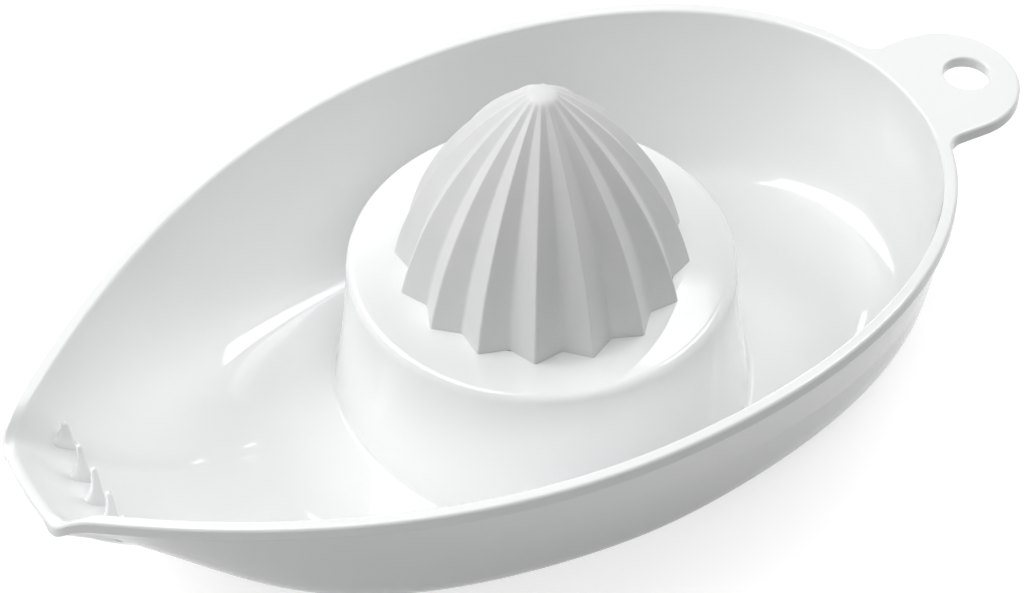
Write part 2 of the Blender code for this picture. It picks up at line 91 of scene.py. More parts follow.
# How far the walls run in from the rim to the floor's outline, and how tightly they turn there
HANDLE_WALL_RUN = 0.0036
SPOUT_WALL_RUN = 0.0252
SIDE_WALL_RUN = 0.0148
FLOOR_FULLNESS = 2.34
SPOUT_FLOOR_FULLNESS = 3.15
FLOOR_SHOULDER = 0.0012
FLOOR_SLOPE = radians(4.5)
FOOT_RING_DRAFT = 0.0004
FOOT_ROUND = 0.0011
TIGHTNESS_AT_HANDLE = 4.0
TIGHTNESS_AT_SIDES = 3.4
TIGHTNESS_AT_SPOUT = 1.15
HULL_TOP_SHARE = 0.1
BASE_ROUND = 0.0004

# Collar under the reamer
COLLAR_MARGIN = 0.0093
COLLAR_ROUND = 0.0018
SKIRT_SPREAD = 0.0037
SKIRT_HOLLOW = 0.0010
COLLAR_PLATE = 0.0022
PLATE_MARGIN = 0.0002

# Hanging tab
TAB_LENGTH = 0.0217
TAB_TILT = radians(3.0)
TAB_HALF_WIDTH = 0.0148
TAB_THICKNESS = 0.0028
TAB_FILLET = 0.0045
HANG_HOLE_RADIUS = 0.0047
HANG_HOLE_FROM_TIP = 0.0099
HANG_HOLE_ROUND = 0.0006
HANG_HOLE_FLARE = radians(105)

# Pip teeth in the spout
TOOTH_COUNT = 5
TOOTH_PITCH = 0.0066
TOOTH_SETBACK = 0.0146
TOOTH_BELOW_RIM = 0.0071
TOOTH_FRONT_SLOPE = 0.0010
TOOTH_THICKNESS = 0.0017
TOOTH_TIP_THICKNESS = 0.0010
TOOTH_TOP_LENGTH = 0.0011
TOOTH_FOOT_LENGTH = 0.0033
TOOTH_FOOT_FLARE = 0.0004
TOOTH_FLARE_FADE = 6
TOOTH_DOME = 0.0006
TOOTH_SQUARENESS = 3.2

# Reamer
RIDGE_COUNT = 16
RIDGE_RADIUS = 0.0285
RIDGE_TURN = radians(148.3)
VALLEY_DEPTH = 0.0030
VALLEY_FADE = 1.15
RIDGE_ROUND = 0.00045
VALLEY_ROUND = 0.00060
REAMER_HEIGHT = 0.0430
RIDGE_ARC_RADIUS = 0.0750
NUB_RADIUS = 0.0033
NUB_RISE = 0.0009
NUB_SHOULDER = 0.0022
FLUTES_END_RADIUS = 0.0012
FLUTES_FULL_RADIUS = 0.0056
REAMER_WALL = 0.0015
HOLLOW_SHARE = 0.92

# Snap fit of the reamer in the collar
CLEARANCE = 0.0003
SEAT_GAP = 0.00005
SEAT_LEDGE = 0.0010
SPIGOT_WALL = 0.0018
SNAP_COUNT = 4
SNAP_WIDTH = 0.0080
SNAP_CATCH = 0.0012
SNAP_HEIGHT = 0.0022
SNAP_EDGE = 0.0007
KEY_COUNT = 4
KEY_WIDTH = 0.0030
KEY_DEPTH = 0.0010

# Steps of the curves and surfaces, and of the searches along them
TAB_END_STEPS = 30
TAB_SIDE_STEPS = 6
FILLET_STEPS = 12
HANDLE_STEPS = 64
SIDE_STEPS = 84
CORNER_STEPS = 8
NOSE_STEPS = 10
ROUND_STEPS = 6
BASE_ROUND_STEPS = 3
LIP_TOP_STEPS = 8
WALL_STEPS = 48
SKIRT_STEPS = 14
LINING_STEPS = 8
HULL_STEPS = 36
HOLE_STEPS = 96
TOOTH_RING_POINTS = 28
TOOTH_STEPS = 16
FLANK_STEPS = 6
CREST_STEPS = 4
REAMER_STEPS = 56
HOLLOW_STEPS = 20
NUB_STEPS = 7
SECTOR_STEPS = 8
HALVINGS = 40
OFFSET_NUDGE = 0.01
SHARP_ANGLE = radians(36)

# Camera, from the photograph's viewpoint
CAMERA_PLACE = Vector((-0.24268, -0.43416, 0.54420))
CAMERA_AZIMUTH = radians(-28.633)
CAMERA_ELEVATION = radians(46.220)
CAMERA_ROLL = radians(-0.390)
CAMERA_LENS = 129.84
CAMERA_SENSOR = 36.0

# Middle range of a noise
NOISE_LOW = 0.3
NOISE_HIGH = 0.7

# Floor and surroundings
FLOOR_HALF_SIZE = 1.6
FLOOR_CELLS = 8
FLOOR_COLOUR = (0.52, 0.52, 0.52, 1.0)
FLOOR_ROUGHNESS = 0.9
FLOOR_GLOW = 0.68
AMBIENT_COLOUR = (0.97, 0.985, 1.0, 1.0)
AMBIENT_LEVEL = 0.02
WHITE = (1.0, 1.0, 1.0, 1.0)

# Lamps, aimed at one point. Softboxes: azimuth, elevation, distance, width, height, radiance
LAMPS_AIM = (0.0, 0.0, 0.03)
SOFTBOXES = {
    "left_softbox": (radians(151), radians(32), 0.9, 0.6, 0.5, 4.9),
    "left_rear_softbox": (radians(106), radians(38), 0.9, 0.6, 0.5, 2.0),
    "right_rear_softbox": (radians(16), radians(38), 1.5, 1.0, 0.8, 4.3),
    "front_softbox": (radians(245), radians(45), 1.5, 1.0, 0.8, 2.0),
    "top_softbox": (radians(61), radians(86), 1.5, 1.0, 1.0, 2.1),
}
# Windows: azimuth, elevation, and the angles that they span across and up
WINDOW_DISTANCE = 4.0
WINDOW_RADIANCE = 6.0
WINDOWS = {
    "window_high": (radians(125), radians(58), radians(36), radians(44)),
    "window_low": (radians(58), radians(46.8), radians(2.6), radians(1.6)),
    "window_left": (radians(18), radians(56), radians(22), radians(14)),
}

FLOOR_HEIGHT = WALL
FLOOR_TO_HANDLE = HANDLE_REACH - HANDLE_WALL_RUN
FLOOR_TO_SPOUT = SPOUT_REACH - SPOUT_WALL_RUN
FLOOR_HALF_WIDTH = RIM_HALF_WIDTH - SIDE_WALL_RUN
TAB_REACH = HANDLE_REACH + TAB_LENGTH
TAB_ROOT = HANDLE_REACH - LIP_WIDTH / 2
COLLAR_RADIUS = RIDGE_RADIUS + COLLAR_MARGIN
SKIRT_FOOT_RADIUS = COLLAR_RADIUS + SKIRT_SPREAD
SPIGOT_RADIUS = RIDGE_RADIUS - VALLEY_DEPTH - SEAT_LEDGE
BORE_RADIUS = SPIGOT_RADIUS + CLEARANCE
TOOTH_X = TOOTH_SETBACK - SPOUT_REACH
AXIS_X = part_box("dish")[1][0] - TAB_REACH


def mix(start, end, share):
    return start + (end - start) * share


def clamp(value):
    return min(max(value, 0.0), 1.0)


def smooth(value):
    """Ease from 0 to 1 with level ends."""
    share = clamp(value)
    return share * share * (3 - 2 * share)


def bezier(start, pull_start, pull_end, end, share):
    """Point at a share of the way along a cubic curve in the plane."""
    rest = 1 - share
    weights = (rest ** 3, 3 * rest * rest * share, 3 * rest * share * share, share ** 3)
    corners = (start, pull_start, pull_end, end)
    return tuple(sum(w * p[axis] for w, p in zip(weights, corners)) for axis in (0, 1))


def conic(start, corner, end, weight, share):
    """Point of a curve that leaves start and meets end along the two sides of their corner."""
    rest = 1 - share
    weights = (rest * rest, 2 * weight * rest * share, share * share)
    total = sum(weights)
    return tuple(sum(w * p[axis] for w, p in zip(weights, (start, corner, end))) / total
                 for axis in (0, 1))


def oval_arc(centre, across, up, start, end, steps):
    """Arc of an oval, given by its reach across and its reach up."""
    turns = [mix(start, end, step / steps) for step in range(steps + 1)]
    return [(centre[0] + across * cos(turn), centre[1] + up * sin(turn)) for turn in turns]


def arc(centre, radius, start, end, steps):
    return oval_arc(centre, radius, radius, start, end, steps)


def turn_of(point):
    """Direction of a point from the axis."""
    return atan2(point[1], point[0])


def search(low, high, falls_short):
    """Where falls_short turns from true to false between two values."""
    for _ in range(HALVINGS):
        middle = (low + high) / 2
        if falls_short(middle):
            low = middle
        else:
            high = middle
    return low


def mesh_object(name, bm):
    bmesh.ops.recalc_face_normals(bm, faces=bm.faces)
    bmesh.ops.translate(bm, verts=bm.verts, vec=(AXIS_X, 0.0, 0.0))
    mesh = bpy.data.meshes.new(name)
    bm.to_mesh(mesh)
    bm.free()
    item = bpy.data.objects.new(name, mesh)
    bpy.context.scene.collection.objects.link(item)
    return item


def loft(bm, rings, closed):
    """Skin rings of equal length; closed joins the last ring to the first."""
    vertices = [[bm.verts.new(point) for point in ring] for ring in rings]
    pairs = list(zip(vertices, vertices[1:]))
    if closed:
        pairs.append((vertices[-1], vertices[0]))
    for lower, upper in pairs:
        for index in range(len(lower)):
            after = (index + 1) % len(lower)
            bm.faces.new((lower[index], lower[after], upper[after], upper[index]))
    return vertices


def settle(item, tools):
    """Unite the item with its tools or cut it, and keep the finished, smoothly shaded mesh."""
    for tool, operation in tools:
        modifier = item.modifiers.new(tool.name, "BOOLEAN")
        modifier.operation = operation
        modifier.solver = "EXACT"
        modifier.object = tool
    evaluated = item.evaluated_get(bpy.context.evaluated_depsgraph_get())
    mesh = bpy.data.meshes.new_from_object(evaluated)
    item.modifiers.clear()
    old = item.data
    item.data = mesh
    bpy.data.meshes.remove(old)
    mesh.name = item.name
    for tool, _ in tools:
        bpy.data.objects.remove(tool, do_unlink=True)
    mesh.shade_smooth()
    mesh.set_sharp_from_angle(angle=SHARP_ANGLE)
    weights = item.modifiers.new("flat_faces_stay_flat", "WEIGHTED_NORMAL")
    weights.keep_sharp = True
    return item


# Dish outline

def handle_side_point(turn, outward):
    """Point of the full oval towards the handle, moved outward along the oval's normal."""
    reach = HANDLE_REACH - RIM_WIDEST_X
    x = cos(turn) ** (2 / RIM_FULLNESS)
    y = sin(turn) ** (2 / RIM_FULLNESS)
    slope = RIM_FULLNESS - 1
    normal = Vector((x ** slope / reach, y ** slope / RIM_HALF_WIDTH)).normalized()
    return (RIM_WIDEST_X + reach * x + normal.x * outward, RIM_HALF_WIDTH * y + normal.y * outward)


def fillet_centre():
    """Centre of the hollow fillet between the rim's handle end and the tab's side."""
    aside = TAB_HALF_WIDTH + TAB_FILLET
    turn = search(0.0, pi / 2, lambda t: handle_side_point(t, TAB_FILLET)[1] < aside)
    return turn, handle_side_point(turn, TAB_FILLET)


def tab_outline():
    """Half of the tab's edge, from the middle of its end to where the fillet meets the rim."""
    rim_turn, centre = fillet_centre()
    touch = handle_side_point(rim_turn, 0.0)
    touch_turn = atan2(touch[1] - centre[1], touch[0] - centre[0])
    end = arc((TAB_REACH - TAB_HALF_WIDTH, 0.0), TAB_HALF_WIDTH, 0.0, pi / 2, TAB_END_STEPS)
    side = [(mix(end[-1][0], centre[0], step / TAB_SIDE_STEPS), TAB_HALF_WIDTH)
            for step in range(1, TAB_SIDE_STEPS)]
    return end + side + arc(centre, TAB_FILLET, -pi / 2, touch_turn, FILLET_STEPS)


def spout_corner():
    return (-(SPOUT_REACH - SPOUT_BOW), SPOUT_HALF_WIDTH)


def side_end():
    corner_x, corner_y = spout_corner()
    return (corner_x + SPOUT_CORNER * cos(SPOUT_FLARE), corner_y + SPOUT_CORNER * sin(SPOUT_FLARE))


def nose_height(across):
    """Distance of the spout's gently bowed end from the axis, at a distance across."""
    return -SPOUT_REACH + SPOUT_BOW * (across / SPOUT_HALF_WIDTH) ** 2


def rim_half_outline():
    """Outer edge of the lip, from where the tab's fillet ends to the middle of the spout."""
    first = fillet_centre()[0]
    points = [handle_side_point(mix(first, pi / 2, step / HANDLE_STEPS), 0.0)
              for step in range(1, HANDLE_STEPS)]
    end = side_end()
    widest = (RIM_WIDEST_X, RIM_HALF_WIDTH)
    ahead = (RIM_WIDEST_X - SIDE_PULL, RIM_HALF_WIDTH)
    back = (end[0] + SPOUT_PULL * cos(SPOUT_FLARE), end[1] + SPOUT_PULL * sin(SPOUT_FLARE))
    points += [bezier(widest, ahead, back, end, step / SIDE_STEPS) for step in range(SIDE_STEPS)]
    nose_start = (nose_height(SPOUT_HALF_WIDTH - SPOUT_CORNER), SPOUT_HALF_WIDTH - SPOUT_CORNER)
    points += [conic(end, spout_corner(), nose_start, 1.0, step / CORNER_STEPS)
               for step in range(CORNER_STEPS)]
    for step in range(NOSE_STEPS + 1):
        across = nose_start[1] * (1 - step / NOSE_STEPS)
        points.append((nose_height(across), across))
    return points


def outward_normals(points):
    """Outward normal at each point of a half outline that starts and ends on the centre line."""
    behind_first = (points[1][0], -points[1][1])
    after_last = (points[-2][0], -points[-2][1])
    padded = [behind_first] + points + [after_last]
    normals = []
    for before, here, after in zip(padded, padded[1:], padded[2:]):
        step_in = Vector(here) - Vector(before)
        step_out = Vector(after) - Vector(here)
        along = step_in.normalized() * step_out.length + step_out.normalized() * step_in.length
        normals.append(Vector((along.y, -along.x)).normalized())
    return normals


def rim_below_tab(turn):
    """Point of the oval rim in a direction from the axis that crosses the tab, and its normal."""
    rim_turn = search(0.0, pi / 2, lambda t: turn_of(handle_side_point(t, 0.0)) < turn)
    point = Vector(handle_side_point(rim_turn, 0.0))
    return point, (Vector(handle_side_point(rim_turn, 1.0)) - point).normalized()


def edge_places():
    """For each point of the half outline: the outer edge, its normal, and the rim inside it."""
    tab = tab_outline()
    outline = tab + rim_half_outline()
    places = []
    for index, (point, normal) in enumerate(zip(outline, outward_normals(outline))):
        outer = Vector(point)
        rim, rim_normal = outer, normal
        if index < len(tab):
            rim, rim_normal = rim_below_tab(turn_of(outer))
        places.append((outer, normal, rim, rim_normal.dot(rim.normalized())))
    return places


def rim_height(x):
    """Top of the lip: a long sagging arc, highest towards the handle, drooping at the spout."""
    height = COLLAR_HEIGHT + RIM_CREST_ABOVE_COLLAR
    height -= RIM_SAG_RADIUS - sqrt(RIM_SAG_RADIUS ** 2 - (x - RIM_CREST_X) ** 2)
    droop_end = SPOUT_REACH - SPOUT_BOW
    past = 1 - (droop_end + x) / SPOUT_DROOP_RUN
    return height - SPOUT_DROOP * clamp(past) ** 2


def tab_height(x):
    """Top of the tab, a plane that carries on the rim's downward slope."""
    return rim_height(TAB_ROOT) - tan(TAB_TILT) * (x - TAB_ROOT)


def pour_share(x, y):
    """How far the lip has thinned to the pouring edge: 0 up to the spout's corner, then up to 1."""
    if x > 0:
        return 0.0
    return smooth((SPOUT_HALF_WIDTH - SPOUT_CORNER - abs(y)) / POUR_EDGE_RUN)


# Dish cross-section

def floor_reach(turn):
    """Distance from the axis to the floor's outline, two full half-ovals, in one direction."""
    length, fullness = FLOOR_TO_HANDLE, FLOOR_FULLNESS
    if cos(turn) < 0:
        length, fullness = FLOOR_TO_SPOUT, SPOUT_FLOOR_FULLNESS
    along = abs(cos(turn) / length) ** fullness
    across = abs(sin(turn) / FLOOR_HALF_WIDTH) ** fullness
    return (along + across) ** (-1 / fullness)


def wall_curve(turn, start):
    """Bowl wall from its top down to the floor: its three corners and its tightness."""
    inner = SKIRT_FOOT_RADIUS + FLOOR_SHOULDER
    corner = (min(max(floor_reach(turn), inner), start[0]), FLOOR_HEIGHT)
    end = (inner, FLOOR_HEIGHT + tan(FLOOR_SLOPE) * (corner[0] - inner))
    end_tightness = TIGHTNESS_AT_HANDLE if cos(turn) > 0 else TIGHTNESS_AT_SPOUT
    return start, corner, end, mix(TIGHTNESS_AT_SIDES, end_tightness, cos(turn) ** 2)


def offset_wall(curve, lean, share):
    """Point of the hull: the wall curve's point moved out by the wall's thickness."""
    before = conic(*curve, max(0.0, share - OFFSET_NUDGE))
    after = conic(*curve, min(1.0, share + OFFSET_NUDGE))
    here = conic(*curve, share)
    along = (after[0] - before[0], after[1] - before[1])
    size = hypot(*along)
    return (here[0] - along[1] / size * WALL / lean, here[1] + along[0] / size * WALL)


def skirt_point(share):
    """Point up the skirt's slightly hollow side, from its foot to the collar's rounded edge."""
    top = (COLLAR_RADIUS, COLLAR_HEIGHT - COLLAR_ROUND)
    foot = (SKIRT_FOOT_RADIUS, FLOOR_HEIGHT)
    hollow = (mix(foot[0], top[0], 0.5) - SKIRT_HOLLOW, mix(foot[1], top[1], 0.5))
    return conic(foot, hollow, top, 1.0, share)


def skirt_share(height):
    return (height - FLOOR_HEIGHT) / (COLLAR_HEIGHT - COLLAR_ROUND - FLOOR_HEIGHT)


def foot_fillet(foot_height):
    """Hollow rounding between the floor and the skirt, below the skirt's share that it ends at."""
    corner = skirt_point(skirt_share(foot_height))
    start = (corner[0] + FOOT_ROUND, foot_height)
    top_share = skirt_share(foot_height + FOOT_ROUND)
    return top_share, [conic(start, corner, skirt_point(top_share), 1.0, step / ROUND_STEPS)
                       for step in range(ROUND_STEPS)]


def collar_section(foot_height):
    """Skirt, collar, bore and the hollow under them, from the skirt's foot to the foot ring."""
    under = COLLAR_HEIGHT - COLLAR_PLATE
    edge = (COLLAR_RADIUS - COLLAR_ROUND, COLLAR_HEIGHT - COLLAR_ROUND)
    first, section = foot_fillet(foot_height)
    section += [skirt_point(mix(first, 1.0, step / SKIRT_STEPS)) for step in range(SKIRT_STEPS)]
    section += arc(edge, COLLAR_ROUND, 0.0, pi / 2, ROUND_STEPS)
    section += [(edge[0] - PLATE_MARGIN, COLLAR_HEIGHT),
                (BORE_RADIUS, COLLAR_HEIGHT), (BORE_RADIUS, under)]
    for step in range(LINING_STEPS, 0, -1):
        radius, height = skirt_point(step / LINING_STEPS)
        section.append((radius - WALL, min(height, under)))
    inside = SKIRT_FOOT_RADIUS - WALL
    outside = SKIRT_FOOT_RADIUS + FLOOR_SHOULDER - FOOT_RING_DRAFT
    section += arc((inside + BASE_ROUND, BASE_ROUND), BASE_ROUND, pi, pi * 1.5, BASE_ROUND_STEPS)
    section.append((outside, 0.0))
    return section


def lip_roundings(place, thickness):
    """Outer edge of the lip or tab, rounded below and above, as points in space."""
    outer, normal, rim, _ = place
    top = rim_height(rim.x) if outer.x <= rim.x else tab_height(outer.x)
    bottom = top - thickness
    points = []
    for radius, level, start in ((LIP_UNDER_ROUND, bottom + LIP_UNDER_ROUND, -pi / 2),
                                 (LIP_ROUND, top - LIP_ROUND, 0.0)):
        for across, height in arc((0.0, level), radius, start, start + pi / 2, ROUND_STEPS):
            spot = outer - normal * (radius - across)
            points.append(Vector((spot.x, spot.y, height)))
    return points


def dish_section(place):
    """Closed cross-section of the dish below one point of its outer edge."""
    outer, _, rim, lean = place
    turn = turn_of(rim)
    reach = rim.length
    height = rim_height(rim.x)
    pour = pour_share(rim.x, rim.y)
    thickness = mix(LIP_HEIGHT, POUR_EDGE_HEIGHT, pour)
    if outer.x > rim.x:
        thickness = mix(LIP_HEIGHT, TAB_THICKNESS, smooth((outer.x - rim.x) / LIP_WIDTH))

    inner = reach - LIP_WIDTH / lean
    fall = mix(LIP_ROUND, POUR_EDGE_FALL, pour)
    ease = mix(LIP_ROUND, LIP_WIDTH - LIP_ROUND, pour) / lean
    run = inner - max(floor_reach(turn), SKIRT_FOOT_RADIUS + FLOOR_SHOULDER)
    wall_lean = atan(max(run, 0.0) / (height - fall - FLOOR_HEIGHT) * fall / ease)
    roll = oval_arc((inner + ease, height - fall), ease, fall,
                    pi / 2, pi - wall_lean, ROUND_STEPS)
    curve = wall_curve(turn, roll[-1])

    def in_space(flat):
        return [Vector((rho * cos(turn), rho * sin(turn), z)) for rho, z in flat]

    edge = lip_roundings(place, thickness)
    underside = in_space([(inner + WALL / lean, height - thickness)])
    ring = underside + edge
    start, end = edge[-1], in_space(roll[:1])[0]
    ring += [start.lerp(end, step / LIP_TOP_STEPS) for step in range(1, LIP_TOP_STEPS)]
    ring += in_space(roll)
    ring += in_space([conic(*curve, step / WALL_STEPS) for step in range(1, WALL_STEPS + 1)])
    ring += in_space(collar_section(curve[2][1]))
    ring += in_space([offset_wall(curve, lean, mix(1.0, HULL_TOP_SHARE, step / HULL_STEPS))
                      for step in range(HULL_STEPS + 1)])
    return ring


def mirrored(ring):
    return [Vector((p.x, -p.y, p.z)) for p in ring]


def hang_hole():
    """Cutter for the tab's hole: a pin at right angles to the tab that flares at both faces."""
    half = TAB_THICKNESS / 2
    reach = HANG_HOLE_RADIUS + HANG_HOLE_ROUND
    flare = arc((reach, half - HANG_HOLE_ROUND), HANG_HOLE_ROUND,
                HANG_HOLE_FLARE, pi, ROUND_STEPS)
    profile = [(flare[0][0] + HANG_HOLE_ROUND * 2, half + HANG_HOLE_ROUND / 2)] + flare
    profile += [(radius, -z) for radius, z in reversed(profile)]
    x = TAB_REACH - HANG_HOLE_FROM_TIP
    tilt = Matrix.Translation((x, 0.0, tab_height(x) - half)) @ Matrix.Rotation(TAB_TILT, 4, "Y")
    bm = bmesh.new()
    rings = []
    for radius, z in profile:
        rings.append([tilt @ Vector((radius * cos(turn), radius * sin(turn), z))
                      for turn in (2 * pi * step / HOLE_STEPS for step in range(HOLE_STEPS))])
    ends = loft(bm, rings, closed=False)
    bm.faces.new(ends[0])
    bm.faces.new(ends[-1])
    return mesh_object("hang_hole", bm)


# Pip teeth

def spout_rim_point(turn):
    """Point of the rim's outer edge in a direction from the axis that crosses the spout."""
    half = rim_half_outline()
    for (ax, ay), (bx, by) in zip(half, half[1:]):
        cross_a = cos(turn) * ay - abs(sin(turn)) * ax
        cross_b = cos(turn) * by - abs(sin(turn)) * bx
        if cross_a <= 0 < cross_b or cross_b <= 0 < cross_a:
            share = cross_a / (cross_a - cross_b)
            return mix(ax, bx, share), mix(ay, by, share)
    return -SPOUT_REACH, 0.0


def bowl_height(x, y):
    """Height of the bowl's inner surface at a point in the spout."""
    turn, distance = atan2(y, x), hypot(x, y)
    rim = spout_rim_point(turn)
    fall = mix(LIP_ROUND, POUR_EDGE_FALL, pour_share(*rim))
    curve = wall_curve(turn, (hypot(*rim) - LIP_WIDTH, rim_height(rim[0]) - fall))
    share = search(0.0, 1.0, lambda s: conic(*curve, s)[0] > distance)
    return conic(*curve, share)[1]


def tooth_rings(y):
    """Level slices of one tooth: a steep front, a hollow sweep behind and a domed tip."""
    top = rim_height(TOOTH_X) - TOOTH_BELOW_RIM
    foot_front = bowl_height(TOOTH_X + TOOTH_FRONT_SLOPE, y)
    foot_back = bowl_height(TOOTH_X - TOOTH_FOOT_LENGTH, y)
    dome_share = 1 - TOOTH_DOME / (top - foot_front)
    slices = [(0.0, WALL / 2, 1.0)]
    slices += [(dome_share * (step / TOOTH_STEPS), 0.0, 1.0) for step in range(TOOTH_STEPS + 1)]
    for step in range(1, ROUND_STEPS):
        turn = step / ROUND_STEPS * pi / 2
        slices.append((mix(dome_share, 1.0, sin(turn)), 0.0, cos(turn)))
    rings = []
    for share, sink, shrink in slices:
        flare = TOOTH_FOOT_FLARE * (1 - share) ** TOOTH_FLARE_FADE
        front = TOOTH_X + TOOTH_FRONT_SLOPE * (1 - share) + flare
        sweep = (TOOTH_FOOT_LENGTH - TOOTH_TOP_LENGTH) * (1 - sqrt(share)) ** 2
        back = TOOTH_X - TOOTH_TOP_LENGTH - sweep - flare
        half = mix(TOOTH_THICKNESS, TOOTH_TIP_THICKNESS, share) / 2 + flare
        middle = (front + back) / 2
        rings.append([])
        for step in range(TOOTH_RING_POINTS):
            turn = 2 * pi * step / TOOTH_RING_POINTS
            across = abs(cos(turn)) ** (2 / TOOTH_SQUARENESS) * (1 if cos(turn) > 0 else -1)
            aside = abs(sin(turn)) ** (2 / TOOTH_SQUARENESS) * (1 if sin(turn) > 0 else -1)
            x = middle + (front - back) / 2 * across * shrink
            foot = mix(foot_back, foot_front, (across + 1) / 2)
            rings[-1].append(Vector((x, y + half * aside * shrink, mix(foot, top, share) - sink)))
    return rings


def pip_teeth():
    bm = bmesh.new()
    for number in range(TOOTH_COUNT):
        ends = loft(bm, tooth_rings((number - (TOOTH_COUNT - 1) / 2) * TOOTH_PITCH), closed=False)
        bm.faces.new(ends[0])
        bm.faces.new(ends[-1])
    return mesh_object("pip_teeth", bm)


# Short stretches of ring: catches, keys and their notches

def add_sector(bm, profile, turn, width):
    """Short stretch of a ring with a given cross-section, centred on one direction."""
    middle = sum(radius for radius, height in profile) / len(profile)
    rings = []
    for step in range(SECTOR_STEPS + 1):
        angle = turn + (step / SECTOR_STEPS - 0.5) * width / middle
        rings.append([(radius * cos(angle), radius * sin(angle), height)
                      for radius, height in profile])
    ends = loft(bm, rings, closed=False)
    bm.faces.new(ends[0])
    bm.faces.new(ends[-1])


def key_turn(number):
    return (number + 0.5) * 2 * pi / KEY_COUNT


def bore_notches():
    low = COLLAR_HEIGHT - COLLAR_PLATE * 2
    high = COLLAR_HEIGHT + COLLAR_PLATE
    inner = BORE_RADIUS - KEY_DEPTH
    outer = SPIGOT_RADIUS + KEY_DEPTH + CLEARANCE
    profile = [(inner, low), (outer, low), (outer, high), (inner, high)]
    bm = bmesh.new()
    for number in range(KEY_COUNT):
        add_sector(bm, profile, key_turn(number), KEY_WIDTH + 2 * CLEARANCE)
    return mesh_object("bore_notches", bm)


def spigot_foot():
    return COLLAR_HEIGHT - COLLAR_PLATE - CLEARANCE - SNAP_HEIGHT


def spigot_keys():
    inner = SPIGOT_RADIUS - SPIGOT_WALL / 2
    outer = SPIGOT_RADIUS + KEY_DEPTH
    low = COLLAR_HEIGHT - COLLAR_PLATE
    high = COLLAR_HEIGHT + CLEARANCE * 2
    profile = [(inner, low), (outer, low), (outer, high), (inner, high)]
    bm = bmesh.new()
    for number in range(KEY_COUNT):
        add_sector(bm, profile, key_turn(number), KEY_WIDTH)
    return mesh_object("spigot_keys", bm)


def spigot_snaps():
    """Catches at the spigot's foot, ramped below, that hook under the collar."""
    under = COLLAR_HEIGHT - COLLAR_PLATE - CLEARANCE
    inner = SPIGOT_RADIUS - SPIGOT_WALL / 2
    outer = SPIGOT_RADIUS + SNAP_CATCH
    profile = [(inner, under), (outer, under), (outer, under - SNAP_EDGE),
               (SPIGOT_RADIUS, spigot_foot()), (inner, spigot_foot())]
    bm = bmesh.new()
    for number in range(SNAP_COUNT):
        add_sector(bm, profile, number * 2 * pi / SNAP_COUNT, SNAP_WIDTH)
    return mesh_object("spigot_snaps", bm)


def dish():
    half = [dish_section(place) for place in edge_places()]
    bm = bmesh.new()
    loft(bm, half + [mirrored(ring) for ring in reversed(half[1:-1])], closed=True)
    shell = mesh_object("dish_moulding", bm)
    return settle(shell, [(hang_hole(), "DIFFERENCE"), (pip_teeth(), "UNION"),
                          (bore_notches(), "DIFFERENCE")])


# Reamer

def ridge_arc_centre():
    """Centre of the arc that carries every ridge from the reamer's base to its nub."""
    base = Vector((RIDGE_RADIUS, 0.0))
    tip = Vector((NUB_RADIUS, REAMER_HEIGHT - NUB_RISE))
    middle = (base + tip) / 2
    chord = tip - base
    inward = Vector((-chord.y, chord.x)).normalized()
    return middle + inward * sqrt(RIDGE_ARC_RADIUS ** 2 - (chord.length / 2) ** 2)


def ridge_point(share):
    centre = ridge_arc_centre()
    start = asin(-centre.y / RIDGE_ARC_RADIUS)
    end = asin((REAMER_HEIGHT - NUB_RISE - centre.y) / RIDGE_ARC_RADIUS)
    turn = mix(start, end, share)
    return centre.x + RIDGE_ARC_RADIUS * cos(turn), centre.y + RIDGE_ARC_RADIUS * sin(turn)


def valley_radius(ridge_radius):
    depth = VALLEY_DEPTH * (ridge_radius / RIDGE_RADIUS) ** VALLEY_FADE
    shown = smooth((ridge_radius - FLUTES_END_RADIUS) / (FLUTES_FULL_RADIUS - FLUTES_END_RADIUS))
    return ridge_radius - depth * shown


def rounded_corner(before, corner, after, size):
    """Points of a small curve that takes off a corner between two straight stretches."""
    start = corner + (before - corner).normalized() * size
    end = corner + (after - corner).normalized() * size
    return [Vector(conic(start, corner, end, 1.0, step / CREST_STEPS))
            for step in range(CREST_STEPS + 1)]


def flute_ring(radius, height):
    """Star-shaped ring: softly rounded crests and valleys with flat flanks between them."""
    pitch = 2 * pi / RIDGE_COUNT
    shrink = radius / RIDGE_RADIUS
    low = valley_radius(radius)
    half_gap = Vector((radius - low * cos(pitch / 2), low * sin(pitch / 2)))
    crest_lift = RIDGE_ROUND * shrink * half_gap.x / half_gap.length / 2
    corners = []
    for number in range(RIDGE_COUNT):
        for turn, reach in ((RIDGE_TURN + number * pitch, radius + crest_lift),
                            (RIDGE_TURN + (number + 0.5) * pitch, low)):
            corners.append(Vector((reach * cos(turn), reach * sin(turn))))
    points = []
    for index, corner in enumerate(corners):
        before = corners[index - 1]
        after = corners[(index + 1) % len(corners)]
        size = (VALLEY_ROUND if index % 2 else RIDGE_ROUND) * shrink
        next_size = (RIDGE_ROUND if index % 2 else VALLEY_ROUND) * shrink
        turned = rounded_corner(before, corner, after, size)
        points += turned
        flank_end = after + (corner - after).normalized() * next_size
        points += [turned[-1].lerp(flank_end, step / FLANK_STEPS) for step in range(1, FLANK_STEPS)]
    return [Vector((p.x, p.y, height)) for p in points]


def round_ring(radius, height):
    """Round ring whose points stand under those of the flutes."""
    turns = [turn_of(point) for point in flute_ring(RIDGE_RADIUS, 0.0)]
    return [Vector((radius * cos(turn), radius * sin(turn), height)) for turn in turns]


